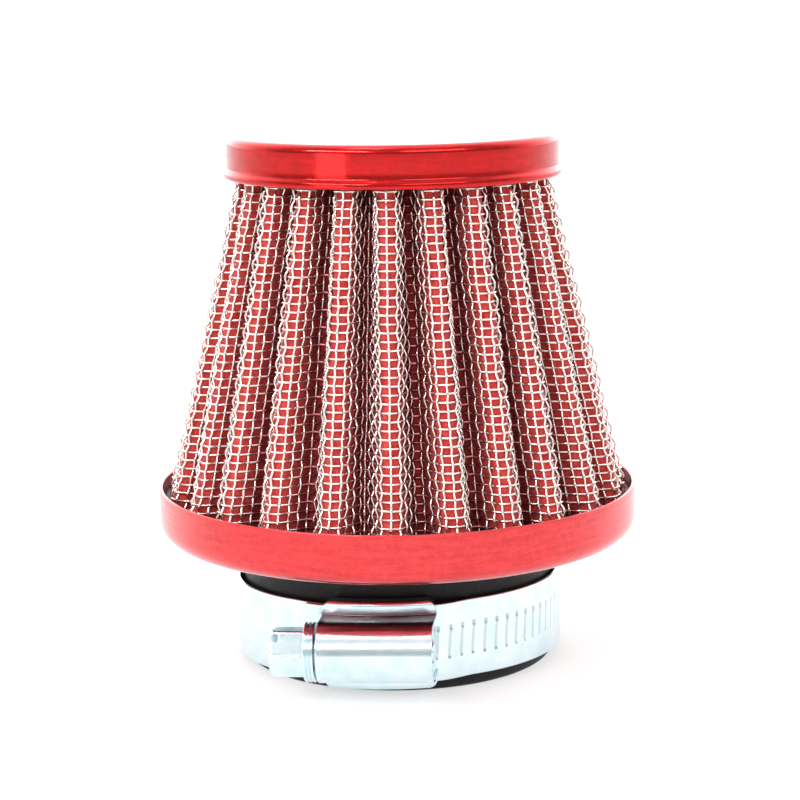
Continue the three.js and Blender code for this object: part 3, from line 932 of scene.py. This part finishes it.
# %% Housing
LIP_OUTER, LIP_THICKNESS = 6.9, 0.6
LIP_DROP, LIP_BEND, LIP_BEND_LOSS = 2.0, 0.75, 0.7
DOME_OUTER, DOME_FOOT = 4.7, 1.2
CORNER_ROUND, CORNER_SHARE = 1.8, 0.85
FILLET, FILLET_GAIN = 0.2, 0.3
WALL_STEPS = 7
# Where the painted dark reflection lies on the housing, in millimetres up the dome.
REFLECTION_WIDTH, REFLECTION_FADE, REFLECTION_START = 1.1, 0.5, 0.86


def housing_half(thin):
    """Across, height above the band, straight height and weight, from one lip up to the dome's crown."""
    lip, dome = LIP_OUTER - thin * LIP_THICKNESS / HOUSING_WALL, DOME_OUTER - thin
    top = HOUSING_WALL - thin
    corners = [(lip, -LIP_DROP), (lip, top), (dome, top), (dome, top + DOME_FOOT)]
    outer_round = LIP_BEND - LIP_BEND_LOSS * thin
    inner_round = FILLET + FILLET_GAIN * thin
    low = spread(rounded(corners, [0, outer_round, inner_round, 0], 6, closed=False), 0.35, closed=False)
    climb = low[-1, 1] + np.zeros(WALL_STEPS - 1)
    share = np.arange(1, WALL_STEPS) / WALL_STEPS
    arc = np.linspace(0, math.pi / 2, 13)
    across = np.concatenate([low[:, 0], dome + 0 * share, dome * np.cos(arc)])
    above = np.concatenate([low[:, 1], climb, 0 * arc])
    straight = np.concatenate([0 * low[:, 0], SCREW_OFFSET + 0 * share, SCREW_OFFSET + dome * np.sin(arc)])
    weight = np.concatenate([0 * low[:, 0], share, 1 + 0 * arc])
    return np.stack([across, above, straight, weight], -1)


def mirrored(half):
    """One half of the section, then its mirror image back down to the other lip."""
    other = half[-2::-1] * (-1, 1, 1, 1)
    return np.concatenate([half, other])


def housing_skins():
    """Outer and inner skin: the section at each step along the screw, its ends rounded in at the corners."""
    outer, inner = mirrored(housing_half(0)), mirrored(housing_half(HOUSING_WALL))
    sections = []
    for section in (outer, inner):
        across, above, straight, weight = section.T
        over = np.clip((np.abs(across) - LIP_OUTER + CORNER_ROUND) / CORNER_ROUND, 0, 1)
        inset = CORNER_ROUND * (1 - np.sqrt(1 - over**2)) * CORNER_SHARE
        reach = HOUSING_LENGTH / 2 - inset
        share = np.linspace(-1, 1, 61)[:, None]
        x = share * reach[None, :]
        curved = np.sqrt(HOUSING_INNER**2 - x**2) + above
        y = -((1 - weight) * curved + weight * straight)
        sections.append(np.stack([x, y, np.broadcast_to(across, x.shape)], -1))
    return sections


def housing_piece():
    """Both skins as one tube along the screw. A dark reflection is painted where the dome's upper side meets
    the flange.
    """
    outer, inner = housing_skins()
    points = np.concatenate([outer, inner[:, ::-1]], 1)
    up = points[..., 2]
    rise = smooth_step((up - DOME_OUTER * np.sqrt(REFLECTION_START)) / REFLECTION_FADE)
    dark_reflection = rise * smooth_step((DOME_OUTER + REFLECTION_WIDTH - up) / REFLECTION_WIDTH)
    faces = capped_faces(*points.shape[:2])
    return weld(new_piece("housing", in_clamp(points), faces, zinc_plate, soiled=dark_reflection))


def add_bevel(piece, width, angle=40):
    """Eases every edge sharper than an angle, in degrees, by a width in millimetres."""
    bevel = piece.modifiers.new("edges", "BEVEL")
    bevel.width = width * MM
    bevel.segments = 2
    bevel.limit_method = "ANGLE"
    bevel.angle_limit = math.radians(angle)
    bevel.harden_normals = False
    return piece


settle(add_bevel(housing_piece(), 0.12), "clamp", "zinc_steel", "clamp_housing")

# %% [markdown]
# ### The housing's ends
#
# A wall closes each end of the dome, with a round hole that carries the screw. Its outline is a half circle
# over a box, so each of its points is where a ray from the screw's axis meets one or the other.

# %% Housing ends
END_HOLES = {"head": 2.9, "tip": 1.8}
END_REACH, END_INSET, END_RAYS = 4.9, 0.25, 96


def end_plate(name, hole, place):
    """A wall across the dome's end: rays from the screw's axis run from its hole out to the dome."""
    angle = np.linspace(0, 2 * math.pi, END_RAYS, endpoint=False)
    side, down = np.abs(np.sin(angle)), np.cos(angle)
    dome = DOME_OUTER - HOUSING_WALL + FIT_GAP
    box = np.minimum(dome / np.maximum(side, 1e-6), END_REACH / np.maximum(down, 1e-6))
    edge = np.where(down > 0, box, dome)
    half = HOUSING_WALL / 2
    loop = [(hole + 0 * edge, -half), (edge, -half), (edge, half), (hole + 0 * edge, half)]
    points = np.stack(
        [
            np.stack([place + height + 0 * radius, radius * down - SCREW_OFFSET, radius * np.sin(angle)], -1)
            for radius, height in loop
        ]
    )
    faces = grid_faces(len(loop), END_RAYS, True, True)
    return weld(new_piece(name, in_clamp(points), faces, zinc_plate, smooth=False))


for label, sign in (("head", -1), ("tip", 1)):
    place = sign * (HOUSING_LENGTH / 2 - HOUSING_WALL / 2 - END_INSET)
    plate = end_plate(f"housing_end_{label}", END_HOLES[label], place)
    settle(add_bevel(plate, 0.08), "clamp", "zinc_steel", "clamp_housing")

# %% [markdown]
# ## Screw
#
# The worm is a turned rod whose radius also rises and falls along a helix: the phase of a rounded wave is
# the distance along the rod in pitches, less one turn for each turn round it. The collar and the rod under
# the head are plain turned profiles. The head is a hexagon with a chamfered end and a slot cut across it,
# and a boolean cut is the honest way to make a slot with square walls.

# %% Screw
WORM_RADIUS, THREAD_DEPTH, JOURNAL, PILOT = 3.7, 0.7, 2.6, 1.5
COLLAR_RADIUS, COLLAR_LENGTH, HEX_FLATS, HEX_LENGTH = 4.6, 1.7, 7.0, 5.3
SLOT_WIDTH, SLOT_DEPTH, SLOT_ANGLE, HEX_TURN = 1.3, 1.5, -48.0, -3.0
SCREW_PLAY = 0.3
WORM_ROUNDING, RUN_OUT, CORNER_EASE, CHAMFER = 1.6, 2.5, 0.08, 0.75
COLLAR_GROOVES, COLLAR_GROOVE_HALF, COLLAR_GROOVE_DEPTH = (0.36, 0.68), 0.2, 0.3
COLLAR_END = -HOUSING_LENGTH / 2 - SCREW_PLAY
HEAD_START = COLLAR_END - COLLAR_LENGTH
HEAD_END = HEAD_START - HEX_LENGTH


def screw_turned(name, profile, segments=96):
    """A profile turned round the screw's own axis."""
    points = turned_points(profile, segments)
    faces = grid_faces(segments, len(profile), True, False)
    return weld(new_piece(name, in_clamp(on_screw(points)), faces, zinc_plate))


def worm_piece():
    """The rod's radius less a wave of the phase, and smaller where the thread runs out at both ends."""
    end = HOUSING_LENGTH / 2 - HOUSING_WALL - SCREW_PLAY
    along = np.linspace(-end, end, 140)
    angle = np.linspace(0, 2 * math.pi, 64, endpoint=False)[:, None]
    phase = along[None, :] / GROOVE_PITCH - angle / (2 * math.pi)
    wave = 0.5 + 0.5 * np.cos(2 * math.pi * phase)
    radius = WORM_RADIUS - THREAD_DEPTH * smooth_step(WORM_ROUNDING * (wave - 0.5) + 0.5)
    radius = np.minimum(radius, JOURNAL + RUN_OUT * (end - np.abs(along))[None, :] + 0.2)
    body = np.stack([radius * np.cos(angle), radius * np.sin(angle), along + 0 * angle], -1)
    caps = [np.stack([0 * angle, 0 * angle, place + 0 * angle], -1) for place in (-end, end)]
    points = np.concatenate([caps[0], body, caps[1]], 1)
    faces = grid_faces(points.shape[0], points.shape[1], True, False)
    return weld(new_piece("screw_worm", in_clamp(on_screw(points)), faces, zinc_plate))


def shaft_profile():
    """A thick rod from inside the collar to the worm's middle, then a thin one to the housing's far end."""
    start, end = HEAD_START + SCREW_PLAY, HOUSING_LENGTH / 2
    corners = [(0, start), (JOURNAL, start), (JOURNAL, 0), (PILOT, 0), (PILOT, end), (0, end)]
    return spread(rounded(corners, [0, 0, 0, 0, 0.3, 0], 4, closed=False), 1.0, closed=False)


def collar_profile():
    """A short disc with two shallow grooves round its edge."""
    low, high = HEAD_START, COLLAR_END
    corners, radii = [(0, low), (COLLAR_RADIUS, low)], [0, 0.25]
    floor, half = COLLAR_RADIUS - COLLAR_GROOVE_DEPTH, COLLAR_GROOVE_HALF
    for share in COLLAR_GROOVES:
        middle = low + share * COLLAR_LENGTH
        corners += [(COLLAR_RADIUS, middle - half), (floor, middle), (COLLAR_RADIUS, middle + half)]
        radii += [0.06] * 3
    corners += [(COLLAR_RADIUS, high), (0, high)]
    return spread(rounded(corners, [*radii, 0.25, 0], 4, closed=False), 0.8, closed=False)


def hexagon_radius(angle, flats, corner):
    """Distance to a hexagon's side: half its width over the cosine from the nearest flat, corners eased."""
    off = (angle + math.pi / 6) % (math.pi / 3) - math.pi / 6
    return np.minimum(flats / 2 / np.cos(off), corner)


def head_piece():
    """The smaller of a turned, chamfered radius and the hexagon's, at each angle and height."""
    angle = np.linspace(0, 2 * math.pi, 144, endpoint=False)[:, None] + math.radians(HEX_TURN)
    corner = HEX_FLATS / math.sqrt(3) - CORNER_EASE
    side = hexagon_radius(angle - math.radians(HEX_TURN), HEX_FLATS, corner)
    past = corner + FIT_GAP
    outline = [(0, HEAD_END), (corner - CHAMFER, HEAD_END), (past, HEAD_END + CHAMFER), (past, HEAD_START)]
    turned = spread(rounded(outline, [0, 0.35, 0.5, 0], 5, closed=False), 0.5, closed=False)
    radius = np.minimum(turned[None, :, 0], side)
    points = np.stack([radius * np.cos(angle), radius * np.sin(angle), turned[None, :, 1] + 0 * angle], -1)
    back = np.stack([0 * angle, 0 * angle, HEAD_START + 0 * angle], -1)
    points = np.concatenate([points, back], 1)
    faces = grid_faces(points.shape[0], points.shape[1], True, False)
    head = weld(new_piece("screw_head", in_clamp(on_screw(points)), faces, zinc_plate))
    return cut_slot(head)


def box_points(low, high):
    """The eight corners and six outward faces of a box between its lowest and its highest corner."""
    x, y, z = ((low[axis], high[axis]) for axis in range(3))
    points = np.array([(a, b, c) for a in x for b in y for c in z])
    faces = [(0, 1, 3, 2), (4, 6, 7, 5), (0, 4, 5, 1), (2, 3, 7, 6), (0, 2, 6, 4), (1, 5, 7, 3)]
    return points, np.array(faces)


def cut_slot(head):
    """Cuts the screwdriver slot through the head's end, along a line at an angle to the clamp's radius."""
    points, faces = box_points(
        (-SLOT_WIDTH / 2, -6, HEAD_END - 1), (SLOT_WIDTH / 2, 6, HEAD_END + SLOT_DEPTH)
    )
    turn = math.radians(SLOT_ANGLE)
    x = points[:, 0] * math.cos(turn) - points[:, 1] * math.sin(turn)
    y = points[:, 0] * math.sin(turn) + points[:, 1] * math.cos(turn)
    placed = in_clamp(on_screw(np.stack([x, y, points[:, 2]], -1)))
    cutter = weld(new_piece("slot_cutter", placed, faces, zinc_plate, smooth=False))
    cut = head.modifiers.new("slot", "BOOLEAN")
    cut.operation, cut.solver, cut.object = "DIFFERENCE", "EXACT", cutter
    bpy.context.view_layer.update()
    depsgraph = bpy.context.evaluated_depsgraph_get()
    carved = bpy.data.meshes.new_from_object(head.evaluated_get(depsgraph))
    head.modifiers.clear()
    head.data = carved
    bpy.data.objects.remove(cutter)
    return head


for piece in (
    worm_piece(),
    screw_turned("screw_shaft", shaft_profile()),
    screw_turned("screw_collar", collar_profile()),
    add_bevel(head_piece(), 0.1),
):
    settle(piece, "screw", "zinc_steel", "clamp_screw")

# %% [markdown]
# ## Floor and light
#
# The filter stands on a white sweep under large soft lights. A bright surrounding keeps the lacquer and the
# zinc light. It is dimmer at the front than at the back and overhead, which gives metal something darker to
# mirror. The floor also glows a little, so that it stays white where the lights fall off.

# %% Stage
FLOOR_HALF, FLOOR_DROP = 4.0, 0.00005
FLOOR_GREY, FLOOR_GLOW = 0.4, 0.62
FRONT_GLOW, BACK_GLOW, HIGH_GLOW = 0.52, 2.4, 0.3


def floor_material():
    """A dull grey that also gives off an even white light."""
    material, _ = new_material(
        "floor_white", Base_Color=(FLOOR_GREY, FLOOR_GREY, FLOOR_GREY, 1), Roughness=0.9,
        Specular_IOR_Level=0.0, Emission_Color=(1, 1, 1, 1), Emission_Strength=FLOOR_GLOW,
    )
    return material


def add_floor():
    """A square just below the filter's lowest face."""
    corners = np.array([(-1, -1), (1, -1), (1, 1), (-1, 1)]) * FLOOR_HALF
    points = np.concatenate([corners, np.full((4, 1), -FLOOR_DROP)], 1)
    new_piece("floor", points, np.array([[0, 1, 2, 3]]), floor_material(), smooth=False)


def add_world():
    """A white surround whose brightness grows smoothly from the front to the back, and upwards."""
    world = bpy.data.worlds.new("surround")
    world.use_nodes = True
    background = world.node_tree.nodes["Background"]
    background.inputs["Color"].default_value = (1, 1, 1, 1)
    direction = add_node(world, "ShaderNodeTexCoord").outputs["Generated"]
    parts = add_node(world, "ShaderNodeSeparateXYZ", {"Vector": direction}).outputs
    glow = remap(world, parts["Y"], -0.1, 0.8, FRONT_GLOW, BACK_GLOW)
    lift = remap(world, parts["Z"], 0.35, 0.65, 0, HIGH_GLOW)
    total = add_node(world, "ShaderNodeMath", {0: glow, 1: lift}, operation="ADD").outputs[0]
    world.node_tree.links.new(total, background.inputs["Strength"])
    bpy.context.scene.world = world


def add_light(name, place, target, size, power):
    """A rectangular lamp that faces its target. Its size is in metres and its power in watts."""
    data = bpy.data.lights.new(name, "AREA")
    data.shape = "RECTANGLE"
    data.size, data.size_y = size
    data.energy = power
    light = bpy.data.objects.new(name, data)
    ahead = Vector(target) - Vector(place)
    light.matrix_world = Matrix.Translation(place) @ ahead.to_track_quat("-Z", "Y").to_matrix().to_4x4()
    bpy.context.scene.collection.objects.link(light)


MIDDLE = (0, 0, 0.045)
add_floor()
add_world()
add_light("key", (-0.537, -0.618, 0.574), MIDDLE, (0.7, 0.12), 4.8)
add_light("side_key", (-0.54, -0.6, 0.06), MIDDLE, (0.3, 0.3), 0.35)
add_light("fill", (0.41, -0.71, 0.574), MIDDLE, (0.7, 0.25), 1.65)
add_light("upper_key", (-0.17, -0.195, 0.966), MIDDLE, (0.3, 0.3), 1.4)
add_light("top", (0, 0.1, 1.0), MIDDLE, (0.9, 0.9), 1.5)
bpy.context.scene.view_settings.view_transform = "Standard"
bpy.context.scene.view_settings.look = "None"
bpy.context.scene.view_settings.exposure = 0.0
print("lights", len(bpy.data.lights))
